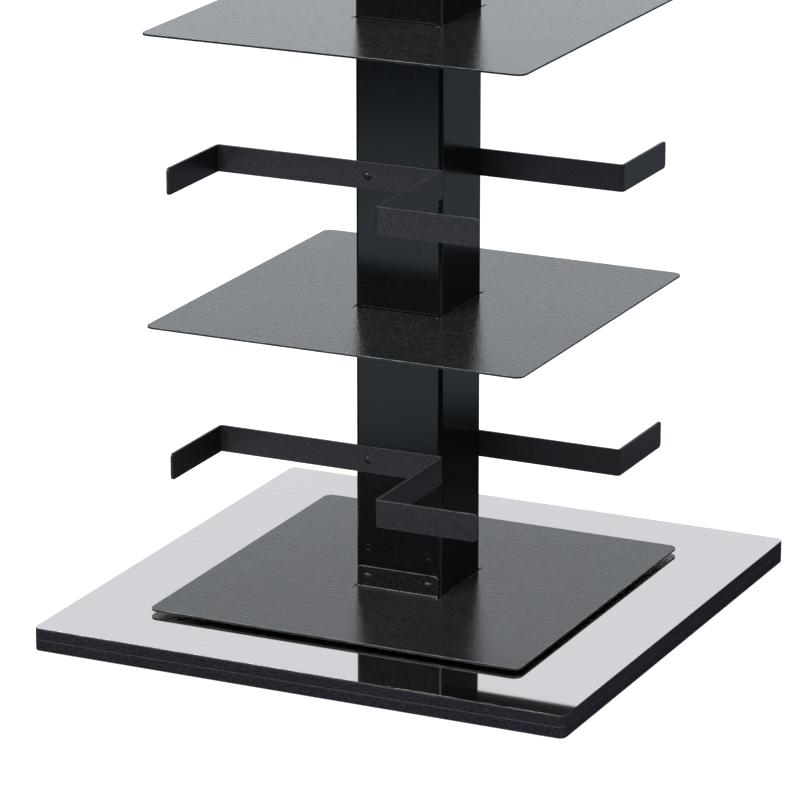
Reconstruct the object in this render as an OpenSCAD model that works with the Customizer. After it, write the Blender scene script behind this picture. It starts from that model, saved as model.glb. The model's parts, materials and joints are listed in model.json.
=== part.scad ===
// Rotating display rack: a square column turning on a ball race in a flat base, with
// square plates up the column and bent strips that split each tier into four bays.
// Origin: centre of the footprint, on the floor. +Z is up. Millimetres.

/* [Base] */
// Side of the square base boards
base_w = 496; // [460:2:540]
// Corner radius of the base boards
base_r = 6; // [4:1:30]
// Thickness of the lower board
lower_board_t = 10; // [9.5:0.5:14]
// Thickness of the upper board
upper_board_t = 9.5; // [9:0.5:10]
// Thickness of the polished sheet on the upper board
sheet_t = 0.8; // [0.6:0.1:1.2]
// How far the glide pads stand below the lower board
glide_drop = 1; // [0.5:0.5:2]

/* [Tiers] */
// Number of tiers, each with a plate above and below it
tiers = 4; // [2:1:6]
// Height from one plate to the next
pitch = 254; // [220:1:290]

/* [Plates] */
// Side of each plate
plate_w = 350; // [350:2:400]
// Corner radius of each plate
plate_r = 8; // [3:1:16]
// Sheet thickness of the plates
plate_t = 2; // [1.5:0.5:2]
// Gap between the base and the lowest plate
turning_gap = 2.9; // [2.5:0.1:3.2]
// Width of the flange bent from the plate at the front and the back of the column
flange_w = 77; // [70:1:78]
// Height of the flange beyond the plate
flange_h = 19; // [17:1:24]

/* [Column] */
// Side of the square column
col_w = 82; // [82:0.5:84]
// Wall of the column
col_wall = 2; // [2:0.5:2.5]
// Outer corner radius of the column
col_r = 4; // [3.5:0.5:5]

/* [Brackets] */
// Height of the bent strip
strip_h = 24; // [20:1:30]
// Thickness of the bent strip
strip_t = 2; // [1.5:0.5:2]
// How far the strip reaches from the rack's axis
strip_reach = 173; // [165:1:175]
// Distance from the rack's axis to the end of a strip's end tab
tab_reach = 135; // [110:1:150]
// Height of the strip's middle above the plate below it
strip_z = 117; // [90:1:130]

/* [Fasteners] */
// Distance of the flange screws from the middle of the face
flange_screw_x = 29; // [24:1:31]
// Distance of the bracket screws from the middle of the face
strip_screw_x = 28; // [20:1:30]
// Height of the flange screws beyond the plate
flange_screw_z = 10; // [9:1:11]
// Height of the foot screws above the lowest plate
foot_screw_z = 35; // [28:1:38]

/* [Turntable] */
// Number of balls in the race
balls = 24; // [16:1:36]
// Ball radius
ball_r = 3; // [2.9:0.1:3]
// Radius of the circle that the balls run on
ball_circle_r = 53; // [52:0.5:54]

/* [Hidden] */
$fn = 48;
cut = 1;                                   // overrun of cutting tools
slip = 0.05;                               // clearance round fitted shafts

// Levels, from the floor up
lower_board_z = glide_drop;
upper_board_z = lower_board_z + lower_board_t;
sheet_z = upper_board_z + upper_board_t;
base_top_z = sheet_z + sheet_t;
foot_z = base_top_z + turning_gap;         // underside of the lowest plate, column and foot
first_plate_z = foot_z + plate_t;          // top of the lowest plate
function plate_top(i) = first_plate_z + pitch * i;
column_rise = 4;                           // column above the highest plate
column_top_z = plate_top(tiers) + column_rise;

// Column and what lies against it
half = col_w / 2;
bore_w = col_w - 2 * col_wall;
bend_r = 1.5;                              // inner radius of every bend
window_gap = 0.3;
window_half = half + window_gap;
slit_w = 1.6;                              // bend relief at both ends of each flange
slit_len = 4;                              // relief beyond the bend line
flange_corner_r = 3;
strip_corner_r = 3.5;

// Glide pads
pad_r = 15;
pad_t = 2;
pad_inset = 32;

// Turntable
race_in_r = 36;
race_out_r = 60;
race_pocket_r = 63;
race_t = 5;
upper_race_z = foot_z - race_t;
ball_z = (upper_board_z + race_t + upper_race_z) / 2;
groove_slip = 0.3;
groove_r = ball_r + groove_slip;
cage_t = 1.8;
cage_half_w = 5;
cage_slip = 0.2;
cage_hole_r = ball_r + cage_slip;
race_screw_circle_r = 43;
race_screw_r = 2.5;
race_flat_head_r = 4.6;
race_screw_len = 12;
race_socket_r = 1.7;
race_pilot_floor = 3;                      // board left under the race screws
race_cap_head_r = 4.25;
race_cap_head_h = 4;
race_cap_socket_r = 2.3;
race_cap_socket_depth = 2;
upper_race_skin = 1;                       // race left under the upper screws
screw_tip_gap = 0.5;                       // space left beyond the upper screws' tips

// Foot block inside the column
fit_gap = 0.2;                             // what fits in the bore is this much smaller
foot_w = bore_w - fit_gap;
foot_wall = 3;
foot_floor = 6;
foot_h = 48;
foot_bore_r = 9;

// Spindle through the base and the foot
spindle_r = 6;
spindle_hex_r = 10.97;                     // 19 mm across flats
spindle_head_t = 6;
spindle_head_drop = 1.5;                   // head sunk above the board's underside
head_pocket_r = 13;
clamp_washer_r = 12;
washer_t = 2.5;
clamp_nut_t = 7;
bush_flange_r = 13;
bush_flange_t = 2;
bush_top_z = foot_z + foot_floor + bush_flange_t;
thrust_gap = 0.3;
thrust_washer_z = bush_top_z + thrust_gap;
lock_nut_z = thrust_washer_z + washer_t;
lock_nut_t = 11;
spindle_tail = 3;                          // thread beyond the lock nut
spindle_top_z = lock_nut_z + lock_nut_t + spindle_tail;

// Fasteners
m4_r = 2;
m4_clear_r = 2.25;
m4_head_r = 3.8;
m4_head_h = 2.2;
m4_socket_r = 1.45;                        // 2.5 mm across flats
m4_socket_depth = 1.3;
m4_flat_head_r = 3.85;
flange_screw_len = 8;
foot_screw_len = 6;
strip_screw_len = 12;
nut_body_r = 3;
nut_len = 9;
nut_bulge_r = 4.3;
nut_bulge_len = 3;
board_screw_r = 2;
board_screw_head_r = 4;
board_screw_len = 16;
board_socket_r = 1.8;
board_screw_place = 0.36;                  // share of the base width, from its middle

// Cap
cap_t = 2;
cap_skirt_h = 10;
cap_skirt_wall = 2;

TIERS = [for (i = [1 : tiers]) i];
PLATES = [for (i = [0 : tiers]) i];

// ---------- Shared shapes ----------

// Square with round corners, centred on the origin
module rounded_square(w, r) {
    square([w, w - 2 * r], center = true);
    square([w - 2 * r, w], center = true);
    for (x = [-1, 1], y = [-1, 1])
        translate([x * (w / 2 - r), y * (w / 2 - r)])
            circle(r);
}

// Flat tab standing on the X axis, w wide and h long, with its far corners rounded
module tab_outline(w, h, r) {
    translate([-w / 2, 0])
        square([w, h - r]);
    translate([-w / 2 + r, 0])
        square([w - 2 * r, h]);
    for (x = [-1, 1])
        translate([x * (w / 2 - r), h - r])
            circle(r);
}

// Quarter of a bend in sheet of thickness t, from +X round to +Y, centred on the origin
module bend_outline(t) {
    intersection() {
        difference() {
            circle(bend_r + t);
            circle(bend_r);
        }
        square(bend_r + t);
    }
}

// Square board with round corners
module board(z, t) {
    translate([0, 0, z])
        linear_extrude(t)
            rounded_square(base_w, base_r);
}

// Copies its child onto the front and the back of the column
module front_and_back() {
    for (turn = [0, 180])
        rotate([0, 0, turn])
            children();
}

// Copies its child to a pair of screw places on the front, pointing out of the face
module face_pair(x, y, z) {
    for (side = [-1, 1])
        translate([side * x, -y, z])
            rotate([90, 0, 0])
                children();
}

// Pair of bores from front to back through the column, at height z
module cross_bores(x, z, r) {
    for (side = [-1, 1])
        translate([side * x, 0, z])
            rotate([90, 0, 0])
                cylinder(r = r, h = col_w + 2 * cut, center = true);
}

// Button-head screw: the head's seat is at the origin and the shank runs down
module button_screw(len) {
    dome_r = (m4_head_r * m4_head_r + m4_head_h * m4_head_h) / (2 * m4_head_h);
    difference() {
        union() {
            rotate_extrude()
                intersection() {
                    translate([0, m4_head_h - dome_r])
                        circle(dome_r);
                    square([m4_head_r, m4_head_h]);
                }
            translate([0, 0, -len])
                cylinder(r = m4_r - slip, h = len);
        }
        translate([0, 0, m4_head_h - m4_socket_depth])
            cylinder(r = m4_socket_r, h = m4_head_h, $fn = 6);
    }
}

// Cone that seats a flat-head screw whose top is level with the origin
module countersink(head_r) {
    translate([0, 0, -head_r - slip])
        cylinder(r1 = 0, r2 = head_r + slip, h = head_r + slip);
}

// Flat-head screw: its top is level with the origin and the shank runs down
module flat_screw(head_r, shank_r, len, socket_r) {
    head_h = head_r - shank_r;
    difference() {
        union() {
            translate([0, 0, -head_h])
                cylinder(r1 = shank_r, r2 = head_r, h = head_h);
            translate([0, 0, -len])
                cylinder(r = shank_r, h = len - head_h);
        }
        translate([0, 0, -head_h / 2])
            cylinder(r = socket_r, h = head_h, $fn = 6);
    }
}

// Four places on the diagonals, at radius r
module diagonals(r) {
    for (k = [0 : 3])
        rotate([0, 0, 45 + 90 * k])
            translate([r, 0, 0])
                children();
}

// Ring of rectangular section
module ring(r_in, r_out, t) {
    difference() {
        cylinder(r = r_out, h = t);
        translate([0, 0, -cut])
            cylinder(r = r_in, h = t + 2 * cut);
    }
}

// Hexagonal nut
module hex_nut(t) {
    difference() {
        cylinder(r = spindle_hex_r, h = t, $fn = 6);
        translate([0, 0, -cut])
            cylinder(r = spindle_r + slip, h = t + 2 * cut);
    }
}

// ---------- Base ----------

module board_screw_places() {
    for (x = [-1, 0, 1], y = [-1, 0, 1])
        if (x != 0 || y != 0)
            translate([x, y, 0] * base_w * board_screw_place + [0, 0, lower_board_z])
                mirror([0, 0, 1])
                    children();
}

module pad_places() {
    for (x = [-1, 1], y = [-1, 1])
        translate([x * (base_w / 2 - pad_inset), y * (base_w / 2 - pad_inset), 0])
            children();
}

module base_lower_board() {
    color("#1c1c1f")
        difference() {
            board(lower_board_z, lower_board_t);
            pad_places()
                cylinder(r = pad_r, h = pad_t);
            translate([0, 0, lower_board_z - cut])
                cylinder(r = spindle_r + slip, h = lower_board_t + 2 * cut);
            translate([0, 0, lower_board_z - cut])
                cylinder(r = head_pocket_r, h = cut + spindle_head_drop + spindle_head_t);
            board_screw_places()
                countersink(board_screw_head_r);
            board_screw_places()
                translate([0, 0, -lower_board_t - cut])
                    cylinder(r = board_screw_r, h = lower_board_t + cut);
            diagonals(race_screw_circle_r)
                translate([0, 0, lower_board_z + race_pilot_floor])
                    cylinder(r = race_screw_r, h = lower_board_t);
        }
}

module base_upper_board() {
    color("#1c1c1f")
        difference() {
            board(upper_board_z, upper_board_t);
            translate([0, 0, upper_board_z - cut])
                cylinder(r = race_pocket_r, h = upper_board_t + 2 * cut);
            board_screw_places()
                translate([0, 0, -board_screw_len])
                    cylinder(r = board_screw_r, h = board_screw_len);
        }
}

module base_top_sheet() {
    color("#d8dadd")
        difference() {
            board(sheet_z, sheet_t);
            translate([0, 0, sheet_z - cut])
                cylinder(r = race_pocket_r, h = sheet_t + 2 * cut);
        }
}

module glide_pads() {
    color("#303033")
        pad_places()
            cylinder(r = pad_r, h = pad_t);
}

module board_screws() {
    color("#b9bcc0")
        board_screw_places()
            flat_screw(board_screw_head_r, board_screw_r - slip, board_screw_len,
                       board_socket_r);
}

// ---------- Turntable ----------

// Race ring with its ball groove cut at the level of the balls
module race(z) {
    difference() {
        translate([0, 0, z])
            ring(race_in_r, race_out_r, race_t);
        translate([0, 0, ball_z])
            rotate_extrude()
                translate([ball_circle_r, 0])
                    circle(groove_r);
    }
}

module lower_race() {
    color("#9a9da1")
        difference() {
            race(upper_board_z);
            diagonals(race_screw_circle_r)
                translate([0, 0, upper_board_z - cut])
                    cylinder(r = race_screw_r, h = race_t + 2 * cut);
            diagonals(race_screw_circle_r)
                translate([0, 0, upper_board_z + race_t])
                    countersink(race_flat_head_r);
        }
}

module lower_race_screws() {
    color("#b9bcc0")
        diagonals(race_screw_circle_r)
            translate([0, 0, upper_board_z + race_t])
                flat_screw(race_flat_head_r, race_screw_r - slip, race_screw_len,
                           race_socket_r);
}

module ball_cage() {
    color("#c8a24a")
        difference() {
            translate([0, 0, ball_z - cage_t / 2])
                ring(ball_circle_r - cage_half_w, ball_circle_r + cage_half_w, cage_t);
            for (i = [0 : balls - 1])
                rotate([0, 0, 360 / balls * i])
                    translate([ball_circle_r, 0, ball_z])
                        cylinder(r = cage_hole_r, h = 2 * cage_t, center = true);
        }
}

module race_balls() {
    color("#d8dadd")
        for (i = [0 : balls - 1])
            rotate([0, 0, 360 / balls * i])
                translate([ball_circle_r, 0, ball_z])
                    sphere(ball_r);
}

module upper_race() {
    color("#9a9da1")
        difference() {
            race(upper_race_z);
            diagonals(race_screw_circle_r)
                translate([0, 0, upper_race_z + upper_race_skin])
                    cylinder(r = race_screw_r, h = race_t);
        }
}

module upper_race_screws() {
    shank_len = foot_floor + race_t - upper_race_skin - screw_tip_gap;
    color("#b9bcc0")
        diagonals(race_screw_circle_r)
            translate([0, 0, foot_z + foot_floor]) {
                difference() {
                    cylinder(r = race_cap_head_r, h = race_cap_head_h);
                    translate([0, 0, race_cap_head_h - race_cap_socket_depth])
                        cylinder(r = race_cap_socket_r, h = race_cap_head_h, $fn = 6);
                }
                translate([0, 0, -shank_len])
                    cylinder(r = race_screw_r - slip, h = shank_len);
            }
}

// ---------- Spindle ----------

module spindle_bolt() {
    head_z = lower_board_z + spindle_head_drop;
    color("#b9bcc0") {
        translate([0, 0, head_z])
            cylinder(r = spindle_hex_r, h = spindle_head_t, $fn = 6);
        translate([0, 0, head_z + spindle_head_t])
            cylinder(r = spindle_r, h = spindle_top_z - head_z - spindle_head_t);
    }
}

module spindle_clamp_washer() {
    color("#b9bcc0")
        translate([0, 0, upper_board_z])
            ring(spindle_r + slip, clamp_washer_r, washer_t);
}

module spindle_clamp_nut() {
    color("#b9bcc0")
        translate([0, 0, upper_board_z + washer_t])
            hex_nut(clamp_nut_t);
}

module thrust_washer() {
    color("#b9bcc0")
        translate([0, 0, thrust_washer_z])
            ring(spindle_r + slip, clamp_washer_r, washer_t);
}

module lock_nut() {
    color("#b9bcc0")
        translate([0, 0, lock_nut_z])
            hex_nut(lock_nut_t);
}

// ---------- Column ----------

module column_foot() {
    foot_r = col_r - col_wall;
    color("#6f7276")
        translate([0, 0, foot_z])
            difference() {
                linear_extrude(foot_h)
                    rounded_square(foot_w, foot_r);
                translate([0, 0, foot_floor])
                    linear_extrude(foot_h)
                        square(foot_w - 2 * foot_wall, center = true);
                translate([0, 0, -cut])
                    cylinder(r = foot_bore_r, h = foot_floor + 2 * cut);
                translate([0, 0, -cut])
                    diagonals(race_screw_circle_r)
                        cylinder(r = race_screw_r, h = foot_floor + 2 * cut);
                for (z = [flange_screw_z, foot_screw_z])
                    cross_bores(flange_screw_x, plate_t + z, m4_r);
            }
}

module foot_bush() {
    color("#b98a3c")
        difference() {
            union() {
                translate([0, 0, foot_z])
                    cylinder(r = foot_bore_r, h = foot_floor + bush_flange_t);
                translate([0, 0, foot_z + foot_floor])
                    cylinder(r = bush_flange_r, h = bush_flange_t);
            }
            translate([0, 0, foot_z - cut])
                cylinder(r = spindle_r + slip, h = foot_floor + bush_flange_t + 2 * cut);
        }
}

module foot_screws() {
    color("#1c1c1f")
        front_and_back()
            face_pair(flange_screw_x, half, first_plate_z + foot_screw_z)
                flat_screw(m4_flat_head_r, m4_r - slip, foot_screw_len, m4_socket_r);
}

module column_tube() {
    color("#1c1c1f")
        difference() {
            translate([0, 0, foot_z])
                linear_extrude(column_top_z - foot_z)
                    difference() {
                        rounded_square(col_w, col_r);
                        rounded_square(bore_w, col_r - col_wall);
                    }
            for (i = PLATES)
                cross_bores(flange_screw_x, flange_screw_level(i), m4_r);
            cross_bores(flange_screw_x, first_plate_z + foot_screw_z, m4_r);
            front_and_back()
                face_pair(flange_screw_x, half, first_plate_z + foot_screw_z)
                    countersink(m4_flat_head_r);
            for (i = TIERS)
                cross_bores(strip_screw_x, plate_top(i - 1) + strip_z, nut_body_r + slip);
        }
}

module column_cap() {
    skirt_w = bore_w - fit_gap;
    color("#1c1c1f") {
        translate([0, 0, column_top_z])
            linear_extrude(cap_t)
                rounded_square(col_w, col_r);
        translate([0, 0, column_top_z - cap_skirt_h])
            linear_extrude(cap_skirt_h)
                difference() {
                    rounded_square(skirt_w, col_r - col_wall);
                    square(skirt_w - 2 * cap_skirt_wall, center = true);
                }
    }
}

// ---------- Plates ----------

// The lowest plate's flanges stand up, and the others hang down out of sight
function flange_screw_level(i) =
    i == 0 ? plate_top(i) + flange_screw_z : plate_top(i) - plate_t - flange_screw_z;

// Sheet outline: window cut back to the two bend lines, with a relief slit at each corner
module plate_outline() {
    bend_line = half + plate_t + bend_r;
    difference() {
        rounded_square(plate_w, plate_r);
        square([2 * window_half, 2 * bend_line], center = true);
        for (side = [-1, 1])
            translate([side * (window_half - slit_w / 2), 0])
                square([slit_w, 2 * (bend_line + slit_len)], center = true);
    }
}

// Flange on the front side of the window, from the bend line up
module flange() {
    translate([-flange_w / 2, -half - plate_t - bend_r, bend_r])
        rotate([90, 0, 90])
            linear_extrude(flange_w)
                mirror([0, 1])
                    bend_outline(plate_t);
    difference() {
        translate([0, -half, bend_r])
            rotate([90, 0, 0])
                linear_extrude(plate_t)
                    tab_outline(flange_w, flange_h - bend_r, flange_corner_r);
        face_pair(flange_screw_x, half, flange_screw_z)
            cylinder(r = m4_clear_r, h = 4 * plate_t, center = true);
    }
}

// Plate with its flanges up, and the face that the flanges stand on at z = 0
module flanged_plate() {
    color("#2c2c30") {
        translate([0, 0, -plate_t])
            linear_extrude(plate_t)
                plate_outline();
        front_and_back()
            flange();
    }
}

module plate(i) {
    if (i == 0)
        translate([0, 0, plate_top(i)])
            flanged_plate();
    else
        translate([0, 0, plate_top(i) - plate_t])
            mirror([0, 0, 1])
                flanged_plate();
}

module plate_screws(i) {
    color("#1c1c1f")
        front_and_back()
            face_pair(flange_screw_x, half + plate_t, flange_screw_level(i))
                button_screw(flange_screw_len);
}

// ---------- Brackets ----------

// Line of the strip seen from above, without its end tabs
module strip_path() {
    corner = half + strip_t + bend_r;      // bend centre beside the column
    far = strip_reach - strip_t - bend_r;  // bend centre at the strip's ends
    translate([-far, -corner])
        mirror([1, 0])
            bend_outline(strip_t);
    translate([-far, -half - strip_t])
        square([far + half - bend_r, strip_t]);
    translate([half - bend_r, -corner])
        bend_outline(strip_t);
    translate([half, -far])
        square([strip_t, far - corner]);
    translate([corner, -far])
        rotate(180)
            bend_outline(strip_t);
}

// End tab at the left end of the strip, running out from the column
module end_tab() {
    start = half + strip_t + bend_r;
    translate([-strip_reach, -start, 0])
        rotate([180, -90, 0])
            linear_extrude(strip_t)
                tab_outline(strip_h, tab_reach - start, strip_corner_r);
}

// One bent strip on the front face: end tab, long flat, bend, arm, end tab
module bracket() {
    difference() {
        union() {
            translate([0, 0, -strip_h / 2])
                linear_extrude(strip_h)
                    strip_path();
            end_tab();
            rotate([0, 0, 90])
                end_tab();
        }
        face_pair(strip_screw_x, half, 0)
            cylinder(r = m4_clear_r, h = 4 * strip_t, center = true);
    }
}

module bracket_at(tier, turn) {
    color("#3a383e")
        translate([0, 0, plate_top(tier - 1) + strip_z])
            rotate([0, 0, turn])
                bracket();
}

// Copies its child to the four bracket screws of a tier
module bracket_screw_places(tier, y) {
    front_and_back()
        face_pair(strip_screw_x, y, plate_top(tier - 1) + strip_z)
            children();
}

module bracket_screws(tier) {
    color("#1c1c1f")
        bracket_screw_places(tier, half + strip_t)
            button_screw(strip_screw_len);
}

// Blind rivet nuts: a sleeve flush with the column's face, set by a bulge behind the wall
module bracket_nuts(tier) {
    color("#b9bcc0")
        bracket_screw_places(tier, half)
            difference() {
                union() {
                    translate([0, 0, -nut_len])
                        cylinder(r = nut_body_r, h = nut_len);
                    translate([0, 0, -col_wall - nut_bulge_len])
                        cylinder(r = nut_bulge_r, h = nut_bulge_len);
                }
                translate([0, 0, -nut_len - cut])
                    cylinder(r = m4_r, h = nut_len + 2 * cut);
            }
}

// ---------- Nodes ----------

base_lower_board();
base_upper_board();
base_top_sheet();
glide_pads();
board_screws();
lower_race();
lower_race_screws();
spindle_bolt();
spindle_clamp_washer();
spindle_clamp_nut();
thrust_washer();
lock_nut();
ball_cage();
race_balls();
upper_race();
upper_race_screws();
column_foot();
foot_bush();
foot_screws();
column_tube();
column_cap();
for (i = PLATES) {
    plate(i);
    plate_screws(i);
}
for (i = TIERS) {
    bracket_at(i, 0);
    bracket_at(i, 180);
    bracket_screws(i);
    bracket_nuts(i);
}
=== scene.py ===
"""Rotating display rack: rounded meshes, finishes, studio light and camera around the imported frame."""

import json
import math

import bmesh
import bpy
from mathutils import Matrix, Vector


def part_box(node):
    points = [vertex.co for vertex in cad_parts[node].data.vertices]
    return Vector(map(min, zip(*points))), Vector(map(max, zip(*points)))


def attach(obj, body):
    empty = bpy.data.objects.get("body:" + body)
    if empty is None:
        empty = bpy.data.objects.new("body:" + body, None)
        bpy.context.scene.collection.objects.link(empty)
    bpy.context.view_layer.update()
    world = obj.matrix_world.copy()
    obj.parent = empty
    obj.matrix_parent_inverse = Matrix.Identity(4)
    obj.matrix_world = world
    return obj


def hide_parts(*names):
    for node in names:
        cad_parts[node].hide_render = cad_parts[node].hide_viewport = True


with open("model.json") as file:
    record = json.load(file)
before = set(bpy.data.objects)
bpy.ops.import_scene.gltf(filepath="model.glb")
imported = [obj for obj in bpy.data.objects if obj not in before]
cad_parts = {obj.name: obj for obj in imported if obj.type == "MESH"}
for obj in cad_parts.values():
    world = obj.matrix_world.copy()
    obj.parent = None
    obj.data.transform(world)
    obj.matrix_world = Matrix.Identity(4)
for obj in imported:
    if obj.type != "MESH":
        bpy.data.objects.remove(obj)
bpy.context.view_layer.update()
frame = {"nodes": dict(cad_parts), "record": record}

MM = 0.001

# ---- viewpoint -------------------------------------------------------------------------------------
CAMERA_AZIMUTH = 25.40      # degrees from the rack's front (-Y) towards +X
CAMERA_ELEVATION = 17.16    # degrees above the horizon
CAMERA_DISTANCE = 4.200     # metres from the point looked at
CAMERA_SIDE = -0.016        # metres that the point looked at lies right of the turning axis
CAMERA_AIM_HEIGHT = 0.189   # metres above the floor
CAMERA_LENS = 217.3         # millimetres, on a 36 mm sensor
SENSOR_WIDTH = 36.0

# ---- light -----------------------------------------------------------------------------------------
ROOM_LEVEL = 0.045          # the dim light that comes from everywhere
WALL_TINT = (0.925, 0.975, 1.03)
# Each panel: its middle's azimuth and elevation, its half width and half height, the degrees over
# which it fades out, and its strength.
WALL_GLOWS = [
    (207.0, 8.0, 36.0, 15.0, 9.0, 0.70),
    (207.0, 3.5, 36.0, 12.0, 2.5, 0.68),
    (290.0, 8.0, 36.0, 18.0, 9.0, 0.45),
    (34.0, 14.0, 25.0, 14.0, 9.0, 0.42),
    (92.0, 12.0, 34.0, 16.0, 9.0, 0.42),
]
CEILING_EDGE = (38.0, 50.0)     # degrees of elevation over which the ceiling's light begins
CEILING_LEVEL = 0.25

# Each softbox: its name, its place in metres, its width and height in metres, and its watts.
SOFTBOXES = [
    ("key_light", (-1.1, -2.9, 2.75), 2.4, 1.0, 150),
    ("side_fill", (3.0, -1.0, 2.3), 1.6, 1.6, 80),
]
SOFTBOX_TARGET = (0, 0, 0.4)

# What the rack's faces mirror of the floor: painted pools of light on a floor painted dark with shade.
# Each pool has its middle, its radius in metres and its tone.
FLOOR_LIGHT_POOLS = [
    ((-0.50, -1.05, 0.0), 0.60, 0.58),
    ((0.95, 1.95, 0.0), 1.50, 0.32),
]
LIGHT_POOL_FADE = 0.07           # metres over which a painted pool of light fades out
FLOOR_SHADE_TONE = 0.03           # tone of the painted shade on the floor outside the pools of light
FLOOR_TINT = (0.83, 1.0, 1.13)

FLOOR_REACH = 30.0          # metres from the middle of the floor to its sides
FLOOR_PAINT = 0.80          # grey of the floor that the camera sees
FLOOR_LIFT = 0.72           # the light it adds, so that it comes out nearly white
BACKDROP_LEVEL = 0.80       # grey of the room that the camera sees beyond the floor

# ---- mesh clean-up ---------------------------------------------------------------------------------
MERGE_GAP = 0.001 * MM          # corners closer than this are one
FLAT_ANGLE = math.radians(0.5)  # faces that turn less than this are one flat face
SHARP_ANGLE = math.radians(32)  # edges that turn more than this are rounded
ROUND_STEPS = 3

# Radius of the small round on every sharp edge, by finish.
EDGE_ROUND = {
    "board_black": 0.35 * MM,
    "polished_steel": 0.04 * MM,
    "pad_felt": 0.45 * MM,
    "bearing_steel": 0.25 * MM,
    "bearing_brass": 0.20 * MM,
    "column_black": 0.30 * MM,
    "plate_black": 0.35 * MM,
    "bracket_black": 0.35 * MM,
    "foot_steel": 0.30 * MM,
    "screw_black": 0.12 * MM,
    "zinc_steel": 0.12 * MM,
}
BOARD_RIM_ROUND = 0.95 * MM     # the boards' outer edges, which leave a groove where the two meet
RIM_DEPTH = 20 * MM             # how far in from the outline an edge still counts as the rim


# ---- meshes ----------------------------------------------------------------------------------------
def clean_shape(node):
    """The node's own surface with its seams closed and its flat faces whole."""
    shape = bmesh.new()
    shape.from_mesh(frame["nodes"][node].data)
    bmesh.ops.remove_doubles(shape, verts=shape.verts, dist=MERGE_GAP)
    bmesh.ops.dissolve_limit(shape, angle_limit=FLAT_ANGLE, verts=shape.verts, edges=shape.edges)
    return shape


def rim_test(node):
    """A test that says whether a point lies at the outline of a square board."""
    far_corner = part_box(node)[1]
    reach = far_corner.x - RIM_DEPTH

    def at_rim(point):
        return max(abs(point.x), abs(point.y)) > reach

    return at_rim


def weigh_edges(shape, share, at_rim):
    """Marks the sharp edges: full weight at the rim, and a share of it elsewhere."""
    weights = shape.edges.layers.float.new("bevel_weight_edge")
    for edge in shape.edges:
        if edge.calc_face_angle(0.0) > SHARP_ANGLE:
            outer = all(at_rim(vert.co) for vert in edge.verts)
            edge[weights] = 1.0 if outer else share


def round_edges(piece, width):
    """Rounds the marked edges and keeps the broad faces flat in the shading."""
    bevel = piece.modifiers.new("edge_round", "BEVEL")
    bevel.width = width
    bevel.segments = ROUND_STEPS
    bevel.limit_method = "WEIGHT"
    bevel.miter_outer = "MITER_ARC"
    normals = piece.modifiers.new("flat_faces", "WEIGHTED_NORMAL")
    normals.keep_sharp = True
    graph = bpy.context.evaluated_depsgraph_get()
    final = bpy.data.meshes.new_from_object(piece.evaluated_get(graph), depsgraph=graph)
    piece.modifiers.clear()
    piece.data = final


def finished_piece(node, slot):
    """A copy of the node with every sharp edge rounded, in the node's own place."""
    shape = clean_shape(node)
    ordinary = EDGE_ROUND[slot]
    if slot == "board_black":
        widest = BOARD_RIM_ROUND
        weigh_edges(shape, ordinary / widest, rim_test(node))
    else:
        widest = ordinary
        weigh_edges(shape, 1.0, lambda point: True)
    for face in shape.faces:
        face.smooth = True
        face.material_index = 0
    mesh = bpy.data.meshes.new(node + "_finished")
    shape.to_mesh(mesh)
    shape.free()
    piece = bpy.data.objects.new(node + "_finished", mesh)
    bpy.context.scene.collection.objects.link(piece)
    round_edges(piece, widest)
    return piece


# ---- node helpers ----------------------------------------------------------------------------------
def add(tree, kind, inputs=None, **settings):
    """A node with its settings; each input is a value or the socket that feeds it."""
    made = tree.nodes.new(kind)
    for name, value in settings.items():
        setattr(made, name, value)
    for name, value in (inputs or {}).items():
        if isinstance(value, bpy.types.NodeSocket):
            tree.links.new(value, made.inputs[name])
        else:
            made.inputs[name].default_value = value
    return made


def maths(tree, operation, first, second=0.0):
    """A Math node's result."""
    return add(tree, "ShaderNodeMath", {0: first, 1: second}, operation=operation).outputs[0]


def spread(tree, value, low, high, out_low=0.0, out_high=1.0):
    """The value remapped from one range to another, and held inside it."""
    inputs = {"Value": value, "From Min": low, "From Max": high, "To Min": out_low, "To Max": out_high}
    return add(tree, "ShaderNodeMapRange", inputs).outputs[0]


def blend_colours(tree, factor, first, second):
    """A colour that goes from the first to the second with the factor."""
    made = tree.nodes.new("ShaderNodeMix")
    made.data_type = "RGBA"
    for index, value in ((0, factor), (6, first), (7, second)):
        if isinstance(value, bpy.types.NodeSocket):
            tree.links.new(value, made.inputs[index])
        else:
            made.inputs[index].default_value = value
    return made.outputs[2]


def blend_values(tree, share, first, second):
    """A value that lies the given share of the way from the first to the second."""
    kept = maths(tree, "MULTIPLY", first, 1.0 - share)
    return maths(tree, "ADD", kept, maths(tree, "MULTIPLY", second, share))


def noise(tree, place, scale, detail=2.0, roughness=0.5):
    """A noise value from 0 to 1."""
    inputs = {"Vector": place, "Scale": scale, "Detail": detail, "Roughness": roughness}
    return add(tree, "ShaderNodeTexNoise", inputs).outputs[0]


def new_group(name, inputs, outputs):
    """An empty shader node group with named sockets: the group, its input node and its output node."""
    group = bpy.data.node_groups.new(name, "ShaderNodeTree")
    for socket, kind, default in inputs:
        made = group.interface.new_socket(name=socket, in_out="INPUT", socket_type=kind)
        if default is not None:
            made.default_value = default
    for socket in outputs:
        group.interface.new_socket(name=socket, in_out="OUTPUT", socket_type="NodeSocketFloat")
    return group, group.nodes.new("NodeGroupInput"), group.nodes.new("NodeGroupOutput")


def use_group(tree, group, **inputs):
    """A group placed in a material, with its own values; underscores stand for spaces."""
    made = tree.nodes.new("ShaderNodeGroup")
    made.node_tree = group
    for name, value in inputs.items():
        socket = made.inputs[name.replace("_", " ")]
        if isinstance(value, bpy.types.NodeSocket):
            tree.links.new(value, socket)
        else:
            socket.default_value = value
    return made


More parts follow.
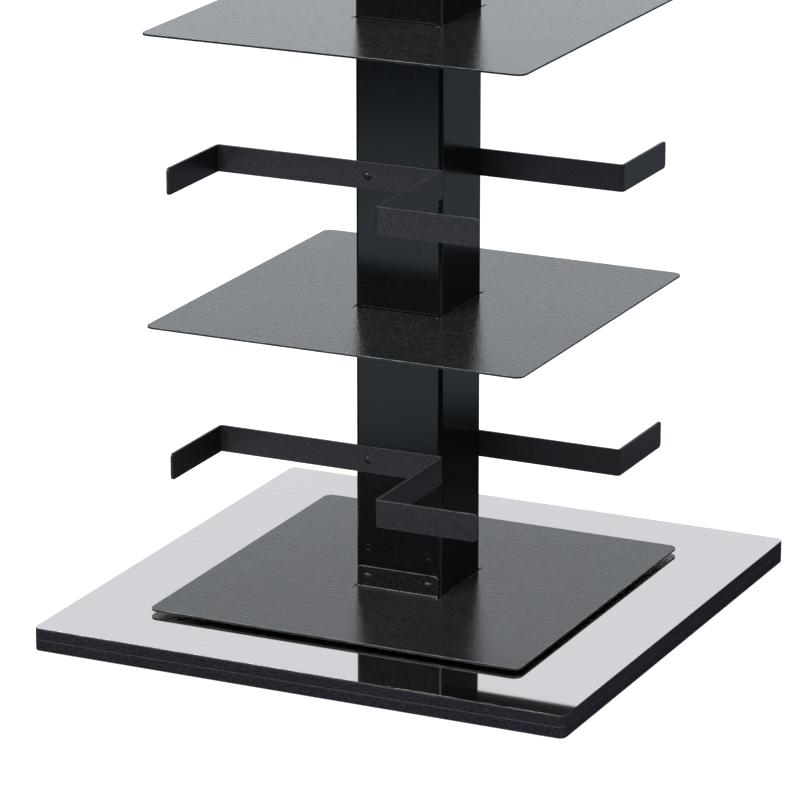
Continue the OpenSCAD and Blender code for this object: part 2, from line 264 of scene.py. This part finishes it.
# ---- effects that several finishes share -----------------------------------------------------------
WAVE_SHARE = 0.32               # scale of a coat's slow waves, as a share of its pebble scale
WAVE_WEIGHT = 0.70              # how much of the height the waves make
FLECK_SHARE = 0.85              # scale of its specks, as a share of its pebble scale
MOTTLE_RANGE = (0.30, 0.70)     # the part of the noise that the broad unevenness runs over
COAT_GRAIN_RANGE = (0.39, 0.61) # and the same for the fine grain and the specks
SPECK_RANGE = (0.68, 0.80)

# The edge mask is partly real wear and partly painted highlight; the painted highlight grows as an edge
# faces up.
WEAR_AND_HIGHLIGHT_BREAKUP_RANGE = (0.35, 0.65)
LEAST_WEAR_AND_HIGHLIGHT = 0.25             # what is left of the edge wear and painted highlight where they are broken up
UPLIT_EDGE_TILT = (0.05, 0.45)     # how far an edge looks up, from least to most painted highlight: edges that face up are painted lighter, as if lit from above
LEAST_UPLIT_SHARE = 0.15
BROAD_WEAR_AND_HIGHLIGHT = {}                 # the group's own range: a soft broad band of edge wear and painted highlight
CRISP_WEAR_AND_HIGHLIGHT = {"Onset": 0.004, "Full": 0.03}     # a narrow bright line along the edge: partly bare worn metal, partly a painted highlight

DUST_SLOPE = (0.6, 0.95)        # how far a face looks up, from no dust to a full film
DUST_PATCH_RANGE = (0.25, 0.75)
MOTE_SCALE = 420.0
MOTE_RANGE = (0.42, 0.66)

BROAD_STREAK_SHARE = 0.09       # scale of the broad streaks, as a share of the line scale
STREAK_RANGE = (0.3, 0.7)
BROAD_RING_SHARE = 0.1          # scale of the broad rings, as a share of the ring scale


def powder_coat_group():
    """Fine pebbled coat: its height, its broad unevenness and its lighter specks."""
    group, given, result = new_group(
        "powder_coat",
        [
            ("Place", "NodeSocketVector", None),
            ("Pebble Scale", "NodeSocketFloat", 1800.0),
            ("Mottle Scale", "NodeSocketFloat", 14.0),
            ("Grain Scale", "NodeSocketFloat", 800.0),
        ],
        ["Height", "Mottle", "Grain", "Speck"],
    )
    place = given.outputs["Place"]
    pebble_scale = given.outputs["Pebble Scale"]
    pebble = noise(group, place, pebble_scale, detail=3.0, roughness=0.6)
    wave = noise(group, place, maths(group, "MULTIPLY", pebble_scale, WAVE_SHARE), detail=1.0)
    height = blend_values(group, WAVE_WEIGHT, pebble, wave)
    mottle = noise(group, place, given.outputs["Mottle Scale"], detail=5.0, roughness=0.62)
    grain = noise(group, place, given.outputs["Grain Scale"], detail=3.0, roughness=0.7)
    fleck = noise(group, place, maths(group, "MULTIPLY", pebble_scale, FLECK_SHARE), detail=0.0)
    group.links.new(height, result.inputs["Height"])
    group.links.new(spread(group, mottle, *MOTTLE_RANGE), result.inputs["Mottle"])
    group.links.new(spread(group, grain, *COAT_GRAIN_RANGE), result.inputs["Grain"])
    group.links.new(spread(group, fleck, *SPECK_RANGE), result.inputs["Speck"])
    return group


def edge_wear_and_highlight_group():
    """Where an edge is worn and where it gets a painted highlight: strongest on the edge itself, lighter
    the more the edge faces up as if lit from above, and broken up along it.
    """
    group, given, result = new_group(
        "edge_wear_and_highlight",
        [
            ("Place", "NodeSocketVector", None),
            ("Radius", "NodeSocketFloat", 0.0006),
            ("Breakup Scale", "NodeSocketFloat", 90.0),
            ("Onset", "NodeSocketFloat", 0.02),
            ("Full", "NodeSocketFloat", 0.28),
        ],
        ["Mask"],
    )
    softened = add(group, "ShaderNodeBevel", {"Radius": given.outputs["Radius"]}, samples=4)
    facing = add(group, "ShaderNodeNewGeometry")
    dot = add(
        group,
        "ShaderNodeVectorMath",
        {0: softened.outputs[0], 1: facing.outputs["Normal"]},
        operation="DOT_PRODUCT",
    )
    turned = maths(group, "SUBTRACT", 1.0, dot.outputs["Value"])
    near_edge = spread(group, turned, given.outputs["Onset"], given.outputs["Full"])
    place = given.outputs["Place"]
    breakup = noise(group, place, given.outputs["Breakup Scale"], detail=4.0, roughness=0.7)
    wear_and_highlight_share = spread(group, breakup, *WEAR_AND_HIGHLIGHT_BREAKUP_RANGE, LEAST_WEAR_AND_HIGHLIGHT, 1.0)
    tilt = add(group, "ShaderNodeSeparateXYZ", {0: softened.outputs[0]}).outputs[2]
    # Painted highlight: edges that face up get more of the mask, as if lit from above.
    lit_from_above = spread(group, tilt, *UPLIT_EDGE_TILT, LEAST_UPLIT_SHARE, 1.0)
    # The mask: edge wear and painted highlight together.
    worn_and_highlit_edge = maths(group, "MULTIPLY", near_edge, maths(group, "MULTIPLY", wear_and_highlight_share, lit_from_above))
    group.links.new(worn_and_highlit_edge, result.inputs["Mask"])
    return group


def dust_group():
    """A thin uneven film of dust on the faces that look up."""
    group, given, result = new_group(
        "settled_dust",
        [
            ("Place", "NodeSocketVector", None),
            ("Patch Scale", "NodeSocketFloat", 22.0),
        ],
        ["Mask"],
    )
    facing = add(group, "ShaderNodeNewGeometry")
    parts = add(group, "ShaderNodeSeparateXYZ", {0: facing.outputs["Normal"]})
    upward = spread(group, parts.outputs[2], *DUST_SLOPE)
    place = given.outputs["Place"]
    patches = noise(group, place, given.outputs["Patch Scale"], detail=6.0, roughness=0.7)
    motes = noise(group, place, MOTE_SCALE, detail=2.0)
    patchy = spread(group, patches, *DUST_PATCH_RANGE)
    film = maths(group, "MULTIPLY", patchy, spread(group, motes, *MOTE_RANGE))
    group.links.new(maths(group, "MULTIPLY", upward, film), result.inputs["Mask"])
    return group


def long_grain_group():
    """Fine lines along one way, as a belt leaves on sheet metal."""
    group, given, result = new_group(
        "long_grain",
        [
            ("Place", "NodeSocketVector", None),
            ("Stretch", "NodeSocketVector", (1.0, 1.0, 1.0)),
            ("Line Scale", "NodeSocketFloat", 1500.0),
        ],
        ["Height", "Streak"],
    )
    drawn = add(
        group,
        "ShaderNodeVectorMath",
        {0: given.outputs["Place"], 1: given.outputs["Stretch"]},
        operation="MULTIPLY",
    ).outputs[0]
    line_scale = given.outputs["Line Scale"]
    fine = noise(group, drawn, line_scale, detail=3.0, roughness=0.65)
    broad = noise(group, drawn, maths(group, "MULTIPLY", line_scale, BROAD_STREAK_SHARE), detail=4.0)
    group.links.new(fine, result.inputs["Height"])
    group.links.new(spread(group, broad, *STREAK_RANGE), result.inputs["Streak"])
    return group


def turned_rings_group():
    """Rings about the turning axis, as a lathe tool leaves."""
    group, given, result = new_group(
        "turned_rings",
        [
            ("Place", "NodeSocketVector", None),
            ("Ring Scale", "NodeSocketFloat", 2500.0),
        ],
        ["Height", "Tone"],
    )
    parts = add(group, "ShaderNodeSeparateXYZ", {0: given.outputs["Place"]})
    across = maths(group, "MULTIPLY", parts.outputs[0], parts.outputs[0])
    along = maths(group, "MULTIPLY", parts.outputs[1], parts.outputs[1])
    radius = maths(group, "SQRT", maths(group, "ADD", across, along))
    ring_place = add(group, "ShaderNodeCombineXYZ", {0: radius, 1: parts.outputs[2]}).outputs[0]
    ring_scale = given.outputs["Ring Scale"]
    fine = noise(group, ring_place, ring_scale, detail=2.0)
    broad = noise(group, ring_place, maths(group, "MULTIPLY", ring_scale, BROAD_RING_SHARE), detail=2.0)
    group.links.new(fine, result.inputs["Height"])
    group.links.new(broad, result.inputs["Tone"])
    return group


POWDER = powder_coat_group()
WEAR_AND_HIGHLIGHT = edge_wear_and_highlight_group()
DUST = dust_group()
GRAIN = long_grain_group()
RINGS = turned_rings_group()


# ---- finishes --------------------------------------------------------------------------------------
DUST_LEVEL = 0.35
DUST_TINT = (1.0, 0.98, 0.95)
DUST_DULLING = 0.3              # how much rougher a full film of dust makes a coat
METAL_GRAIN_DEPTH = 0.02 * MM
FIBRE_SCALE = 2200.0            # the felt's single fibres, and the tufts that they gather in
TUFT_SCALE = 380.0
FELT_DARK = 0.030
FELT_LIGHT = 0.075


def grey(level, tint=(1.0, 1.0, 1.0)):
    """An opaque colour from a level and a slight tint."""
    return (level * tint[0], level * tint[1], level * tint[2], 1.0)


def new_finish(name):
    """An empty material: its tree, its Principled shader and the piece's own coordinates."""
    material = bpy.data.materials.new(name)
    material.use_nodes = True
    tree = material.node_tree
    tree.nodes.clear()
    shader = tree.nodes.new("ShaderNodeBsdfPrincipled")
    output = tree.nodes.new("ShaderNodeOutputMaterial")
    tree.links.new(shader.outputs[0], output.inputs[0])
    place = tree.nodes.new("ShaderNodeTexCoord").outputs["Object"]
    return material, tree, shader, place


def bump(tree, shader, height, strength, depth):
    """Feeds the shader a bumped normal from a height."""
    inputs = {"Height": height, "Strength": strength, "Distance": depth}
    made = add(tree, "ShaderNodeBump", inputs)
    tree.links.new(made.outputs[0], shader.inputs["Normal"])


def powder_finish(name, look):
    """A black powder coat, given by its colours, gloss and texture."""
    material, tree, shader, place = new_finish(name)
    coat = use_group(
        tree,
        POWDER,
        Place=place,
        Pebble_Scale=look["pebble"],
        Mottle_Scale=look["mottle"],
        Grain_Scale=look["grain_scale"],
    )
    wear_and_highlight = use_group(tree, WEAR_AND_HIGHLIGHT, Place=place, Radius=look["wear_and_highlight_radius"], **look["wear_and_highlight_range"])
    dust = use_group(tree, DUST, Place=place)
    tone = blend_values(tree, look["grain"], coat.outputs["Mottle"], coat.outputs["Grain"])
    colour = blend_colours(tree, tone, look["dark"], look["light"])
    speck = maths(tree, "MULTIPLY", coat.outputs["Speck"], look["speck"])
    colour = blend_colours(tree, speck, colour, look["speck_colour"])
    film = maths(tree, "MULTIPLY", dust.outputs["Mask"], look["dust"])
    colour = blend_colours(tree, film, colour, grey(DUST_LEVEL, DUST_TINT))
    # Edge wear and painted highlight: edges are painted lighter where worn and where they face up.
    wear_and_highlight_share = maths(tree, "MULTIPLY", wear_and_highlight.outputs["Mask"], look["wear_and_highlight"])
    colour = blend_colours(tree, wear_and_highlight_share, colour, look["wear_and_highlight_colour"])
    tree.links.new(colour, shader.inputs["Base Color"])
    low, high = look["roughness"]
    gloss = spread(tree, tone, 0.0, 1.0, low, high)
    dulled = maths(tree, "ADD", gloss, maths(tree, "MULTIPLY", film, DUST_DULLING))
    tree.links.new(dulled, shader.inputs["Roughness"])
    shader.inputs["IOR"].default_value = look["ior"]
    bump(tree, shader, coat.outputs["Height"], look["bump"], look["depth"])
    return material


def plate_black():
    """Fine-textured satin coat of the square plates."""
    return powder_finish("plate_black", {
        "pebble": 1500.0, "mottle": 16.0, "grain_scale": 800.0,
        "dark": grey(0.0, (0.86, 1.0, 1.16)), "light": grey(0.018, (0.86, 1.0, 1.16)), "grain": 0.85,
        "speck": 0.12, "speck_colour": grey(0.08),
        "roughness": (0.14, 0.22), "ior": 1.43, "bump": 1.0, "depth": 0.20 * MM,
        # The bright line along the plates' edges is partly bare worn metal and partly a painted
        # highlight.
        "dust": 0.10, "wear_and_highlight_colour": grey(0.55),
        "wear_and_highlight": 1.0, "wear_and_highlight_radius": 0.55 * MM, "wear_and_highlight_range": CRISP_WEAR_AND_HIGHLIGHT,
    })


def bracket_black():
    """The same coat on the strip brackets, a little warmer and duller."""
    return powder_finish("bracket_black", {
        "pebble": 1500.0, "mottle": 24.0, "grain_scale": 950.0,
        "dark": grey(0.0, (1.0, 0.95, 1.22)), "light": grey(0.030, (1.0, 0.95, 1.22)), "grain": 0.9,
        "speck": 0.10, "speck_colour": grey(0.12),
        "roughness": (0.33, 0.45), "ior": 1.48, "bump": 1.0, "depth": 0.12 * MM,
        # The lighter line along the brackets' edges is partly worn metal and partly a painted highlight.
        "dust": 0.02, "wear_and_highlight_colour": grey(0.38, (1.0, 0.97, 1.05)),
        "wear_and_highlight": 0.8, "wear_and_highlight_radius": 0.5 * MM, "wear_and_highlight_range": CRISP_WEAR_AND_HIGHLIGHT,
    })


def column_black():
    """Smoother and glossier coat of the square column and its cap."""
    return powder_finish("column_black", {
        "pebble": 700.0, "mottle": 9.0, "grain_scale": 350.0,
        "dark": grey(0.001, (0.80, 1.0, 1.2)), "light": grey(0.0045, (0.80, 1.0, 1.2)), "grain": 0.7,
        "speck": 0.0, "speck_colour": grey(0.06),
        "roughness": (0.15, 0.21), "ior": 1.45, "bump": 0.4, "depth": 0.05 * MM,
        "dust": 0.01, "wear_and_highlight_colour": grey(0.20),
        "wear_and_highlight": 0.5, "wear_and_highlight_radius": 0.8 * MM, "wear_and_highlight_range": BROAD_WEAR_AND_HIGHLIGHT,
    })


def screw_black():
    """Black oxide on the screws, with the bright steel just showing on the rims."""
    return powder_finish("screw_black", {
        "pebble": 2600.0, "mottle": 120.0, "grain_scale": 1400.0,
        "dark": grey(0.008), "light": grey(0.016), "grain": 0.5,
        "speck": 0.1, "speck_colour": grey(0.05),
        "roughness": (0.30, 0.38), "ior": 1.5, "bump": 0.10, "depth": 0.05 * MM,
        "dust": 0.01, "wear_and_highlight_colour": grey(0.10),
        "wear_and_highlight": 0.4, "wear_and_highlight_radius": 0.20 * MM, "wear_and_highlight_range": BROAD_WEAR_AND_HIGHLIGHT,
    })


def board_black():
    """Black lacquered board: a faint orange peel over a slightly uneven black."""
    return powder_finish("board_black", {
        "pebble": 480.0, "mottle": 20.0, "grain_scale": 500.0,
        "dark": grey(0.004, (0.90, 0.98, 1.25)), "light": grey(0.036, (0.90, 0.98, 1.25)), "grain": 0.85,
        "speck": 0.2, "speck_colour": grey(0.09),
        "roughness": (0.30, 0.42), "ior": 1.46, "bump": 0.6, "depth": 0.08 * MM,
        "dust": 0.02, "wear_and_highlight_colour": grey(0.18),
        "wear_and_highlight": 0.8, "wear_and_highlight_radius": 0.7 * MM, "wear_and_highlight_range": BROAD_WEAR_AND_HIGHLIGHT,
    })


def metal_finish(name, look):
    """Bare or plated metal with a grain, given by its colours and gloss."""
    material, tree, shader, place = new_finish(name)
    if look["turned"]:
        grain = use_group(tree, RINGS, Place=place, Ring_Scale=look["scale"])
        tone = grain.outputs["Tone"]
    else:
        grain = use_group(tree, GRAIN, Place=place, Stretch=look["stretch"], Line_Scale=look["scale"])
        tone = grain.outputs["Streak"]
    wear_and_highlight = use_group(tree, WEAR_AND_HIGHLIGHT, Place=place, Radius=look["wear_and_highlight_radius"])
    colour = blend_colours(tree, tone, look["dark"], look["light"])
    # Edge wear and painted highlight: edges are painted lighter where worn and where they face up.
    wear_and_highlight_share = maths(tree, "MULTIPLY", wear_and_highlight.outputs["Mask"], look["wear_and_highlight"])
    colour = blend_colours(tree, wear_and_highlight_share, colour, look["wear_and_highlight_colour"])
    tree.links.new(colour, shader.inputs["Base Color"])
    low, high = look["roughness"]
    tree.links.new(spread(tree, tone, 0.0, 1.0, low, high), shader.inputs["Roughness"])
    shader.inputs["Metallic"].default_value = 1.0
    bump(tree, shader, grain.outputs["Height"], look["bump"], METAL_GRAIN_DEPTH)
    return material


def polished_steel():
    """Bright unworn sheet on top of the base, with a very fine belt grain."""
    return metal_finish("polished_steel", {
        "turned": False, "stretch": (0.10, 1.0, 1.0), "scale": 1800.0,
        "dark": grey(0.858, (1.05, 1.01, 0.98)), "light": grey(0.888, (1.05, 1.01, 0.99)),
        "roughness": (0.030, 0.045), "bump": 0.03,
        "wear_and_highlight": 0.0, "wear_and_highlight_radius": 0.1 * MM, "wear_and_highlight_colour": grey(0.80),
    })


def bearing_steel():
    """Ground steel of the races and balls."""
    return metal_finish("bearing_steel", {
        "turned": True, "scale": 2400.0,
        "dark": grey(0.52), "light": grey(0.66, (1.0, 1.0, 1.02)),
        "roughness": (0.14, 0.24), "bump": 0.10,
        "wear_and_highlight": 0.4, "wear_and_highlight_radius": 0.3 * MM, "wear_and_highlight_colour": grey(0.85),
    })


def bearing_brass():
    """Turned brass of the ball cage and the bush."""
    return metal_finish("bearing_brass", {
        "turned": True, "scale": 1800.0,
        "dark": (0.58, 0.41, 0.16, 1.0), "light": (0.72, 0.55, 0.26, 1.0),
        "roughness": (0.22, 0.34), "bump": 0.15,
        "wear_and_highlight": 0.4, "wear_and_highlight_radius": 0.3 * MM, "wear_and_highlight_colour": (0.88, 0.74, 0.42, 1.0),
    })


def zinc_steel():
    """Bright zinc plate of the hidden screws, nuts, washers and bolt."""
    return metal_finish("zinc_steel", {
        "turned": False, "stretch": (1.0, 1.0, 0.2), "scale": 900.0,
        "dark": grey(0.46, (1.0, 1.0, 1.04)), "light": grey(0.62, (1.0, 1.01, 1.05)),
        "roughness": (0.26, 0.40), "bump": 0.10,
        "wear_and_highlight": 0.4, "wear_and_highlight_radius": 0.25 * MM, "wear_and_highlight_colour": grey(0.80),
    })


def foot_steel():
    """Grey phosphated steel of the column's foot."""
    return metal_finish("foot_steel", {
        "turned": False, "stretch": (1.0, 1.0, 1.0), "scale": 700.0,
        "dark": grey(0.13), "light": grey(0.22),
        "roughness": (0.50, 0.66), "bump": 0.30,
        "wear_and_highlight": 0.6, "wear_and_highlight_radius": 0.6 * MM, "wear_and_highlight_colour": grey(0.48),
    })


def pad_felt():
    """Dark pressed felt of the glide pads."""
    material, tree, shader, place = new_finish("pad_felt")
    fibre = noise(tree, place, FIBRE_SCALE, detail=4.0, roughness=0.7)
    tuft = noise(tree, place, TUFT_SCALE, detail=3.0)
    tufted = spread(tree, tuft, 0.3, 0.7)
    colour = blend_colours(tree, tufted, grey(FELT_DARK), grey(FELT_LIGHT, DUST_TINT))
    tree.links.new(colour, shader.inputs["Base Color"])
    tree.links.new(spread(tree, fibre, 0.2, 0.8, 0.86, 1.0), shader.inputs["Roughness"])
    shader.inputs["Sheen Weight"].default_value = 0.3
    bump(tree, shader, fibre, 0.8, 0.3 * MM)
    return material


FINISHES = {
    "board_black": board_black(),
    "polished_steel": polished_steel(),
    "pad_felt": pad_felt(),
    "bearing_steel": bearing_steel(),
    "bearing_brass": bearing_brass(),
    "column_black": column_black(),
    "plate_black": plate_black(),
    "bracket_black": bracket_black(),
    "foot_steel": foot_steel(),
    "screw_black": screw_black(),
    "zinc_steel": zinc_steel(),
}


def dress_frame():
    """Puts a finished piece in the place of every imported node."""
    slots = {part["node"]: part["material_slot"] for part in frame["record"]["subparts"]}
    for body, nodes in frame["record"]["behaviour"]["bodies"].items():
        for node in nodes:
            slot = slots[node]
            piece = finished_piece(node, slot)
            piece.data.materials.clear()
            piece.data.materials.append(FINISHES[slot])
            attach(piece, body)
            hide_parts(node)


# ---- studio ----------------------------------------------------------------------------------------
def studio_floor():
    """A wide pale floor for the camera; what the rack's own faces mirror of it is a darker copy, painted
    with shade and with pools of light.
    """
    mesh = bpy.data.meshes.new("studio_floor")
    turns = [(-1, -1), (1, -1), (1, 1), (-1, 1)]
    corners = [(x * FLOOR_REACH, y * FLOOR_REACH, 0) for x, y in turns]
    mesh.from_pydata(corners, [], [(0, 1, 2, 3)])
    floor = bpy.data.objects.new("studio_floor", mesh)
    bpy.context.scene.collection.objects.link(floor)
    material = bpy.data.materials.new("studio_floor")
    material.use_nodes = True
    tree = material.node_tree
    tree.nodes.clear()
    pale = add(tree, "ShaderNodeBsdfDiffuse", {"Color": grey(FLOOR_PAINT)})
    lift = add(tree, "ShaderNodeEmission", {"Color": grey(1.0), "Strength": FLOOR_LIFT})
    seen = add(tree, "ShaderNodeAddShader", {0: pale.outputs[0], 1: lift.outputs[0]})
    place = add(tree, "ShaderNodeTexCoord").outputs["Object"]
    # Painted shade and painted light: the floor that the faces mirror is dark, with pools of light
    # painted on it.
    tone = FLOOR_SHADE_TONE
    for middle, radius, strength in FLOOR_LIGHT_POOLS:
        offset = add(tree, "ShaderNodeVectorMath", {0: place, 1: middle}, operation="DISTANCE")
        light_pool = spread(tree, offset.outputs["Value"], radius, radius + LIGHT_POOL_FADE, strength, 0.0)
        tone = maths(tree, "ADD", tone, light_pool)
    mirrored_shade_and_light_colour = blend_colours(tree, tone, grey(0.0), grey(1.0, FLOOR_TINT))
    mirrored_shade_and_light = add(tree, "ShaderNodeBsdfDiffuse", {"Color": mirrored_shade_and_light_colour})
    path = add(tree, "ShaderNodeLightPath")
    shown = add(
        tree,
        "ShaderNodeMixShader",
        {0: path.outputs["Is Camera Ray"], 1: mirrored_shade_and_light.outputs[0], 2: seen.outputs[0]},
    )
    output = add(tree, "ShaderNodeOutputMaterial")
    tree.links.new(shown.outputs[0], output.inputs[0])
    mesh.materials.append(material)


def glow(tree, way, azimuth, elevation, width, height, fade, strength):
    """Light from one side of the room: an upright soft-edged panel, given in degrees."""
    turn = math.radians(azimuth)
    middle = Vector((math.sin(turn), -math.cos(turn), 0))
    parts = add(tree, "ShaderNodeSeparateXYZ", {0: way})
    level_way = add(tree, "ShaderNodeCombineXYZ", {0: parts.outputs[0], 1: parts.outputs[1]})
    level_unit = add(tree, "ShaderNodeVectorMath", {0: level_way.outputs[0]}, operation="NORMALIZE")
    toward = add(
        tree,
        "ShaderNodeVectorMath",
        {0: level_unit.outputs[0], 1: middle},
        operation="DOT_PRODUCT",
    ).outputs["Value"]
    full = math.cos(math.radians(width - fade))
    gone = math.cos(math.radians(width + fade))
    sideways = spread(tree, toward, gone, full)
    top = math.sin(math.radians(elevation + height))
    top_gone = math.sin(math.radians(elevation + height + fade))
    upward = spread(tree, parts.outputs[2], top, top_gone, 1.0, 0.0)
    foot = math.sin(math.radians(elevation - height))
    foot_gone = math.sin(math.radians(elevation - height - fade))
    downward = spread(tree, parts.outputs[2], foot_gone, foot)
    lit = maths(tree, "MULTIPLY", sideways, maths(tree, "MULTIPLY", upward, downward))
    return maths(tree, "MULTIPLY", lit, strength)


def studio_world():
    """Soft panels of light round a dim room; the camera sees it as a plain pale grey."""
    world = bpy.data.worlds.new("studio_world")
    world.use_nodes = True
    bpy.context.scene.world = world
    tree = world.node_tree
    tree.nodes.clear()
    way = add(tree, "ShaderNodeTexCoord").outputs["Generated"]
    level = ROOM_LEVEL
    for panel in WALL_GLOWS:
        level = maths(tree, "ADD", level, glow(tree, way, *panel))
    height = add(tree, "ShaderNodeSeparateXYZ", {0: way}).outputs[2]
    begins, full = [math.sin(math.radians(degrees)) for degrees in CEILING_EDGE]
    level = maths(tree, "ADD", level, spread(tree, height, begins, full, 0.0, CEILING_LEVEL))
    wall = add(tree, "ShaderNodeBackground", {"Color": (*WALL_TINT, 1.0), "Strength": level})
    backdrop = add(tree, "ShaderNodeBackground", {"Color": grey(BACKDROP_LEVEL), "Strength": 1.0})
    path = add(tree, "ShaderNodeLightPath")
    shown = add(
        tree,
        "ShaderNodeMixShader",
        {0: path.outputs["Is Camera Ray"], 1: wall.outputs[0], 2: backdrop.outputs[0]},
    )
    output = add(tree, "ShaderNodeOutputWorld")
    tree.links.new(shown.outputs[0], output.inputs[0])


def aimed(place, target):
    """The turn that points an object's -Z from its place to a target."""
    return (Vector(target) - Vector(place)).to_track_quat("-Z", "Y")


def softbox(name, place, width, height, power):
    """A large soft light that the camera doesn't see."""
    light = bpy.data.lights.new(name, "AREA")
    light.shape = "RECTANGLE"
    light.size = width
    light.size_y = height
    light.energy = power
    lamp = bpy.data.objects.new(name, light)
    lamp.location = place
    lamp.rotation_mode = "QUATERNION"
    lamp.rotation_quaternion = aimed(place, SOFTBOX_TARGET)
    lamp.visible_camera = False
    bpy.context.scene.collection.objects.link(lamp)


def studio_camera():
    """The camera at the viewing angle, aimed just beside the turning axis."""
    azimuth = math.radians(CAMERA_AZIMUTH)
    elevation = math.radians(CAMERA_ELEVATION)
    right = Vector((math.cos(azimuth), math.sin(azimuth), 0))
    back = Vector((
        math.sin(azimuth) * math.cos(elevation),
        -math.cos(azimuth) * math.cos(elevation),
        math.sin(elevation),
    ))
    up = back.cross(right)
    aim = right * CAMERA_SIDE + Vector((0, 0, CAMERA_AIM_HEIGHT))
    lens = bpy.data.cameras.new("studio_camera")
    lens.lens = CAMERA_LENS
    lens.sensor_width = SENSOR_WIDTH
    camera = bpy.data.objects.new("studio_camera", lens)
    turn = Matrix((right, up, back)).transposed().to_4x4()
    camera.matrix_world = Matrix.Translation(aim + back * CAMERA_DISTANCE) @ turn
    bpy.context.scene.collection.objects.link(camera)
    bpy.context.scene.camera = camera


studio_camera()
dress_frame()
studio_floor()
studio_world()
for panel in SOFTBOXES:
    softbox(*panel)
bpy.context.scene.view_settings.view_transform = "Standard"
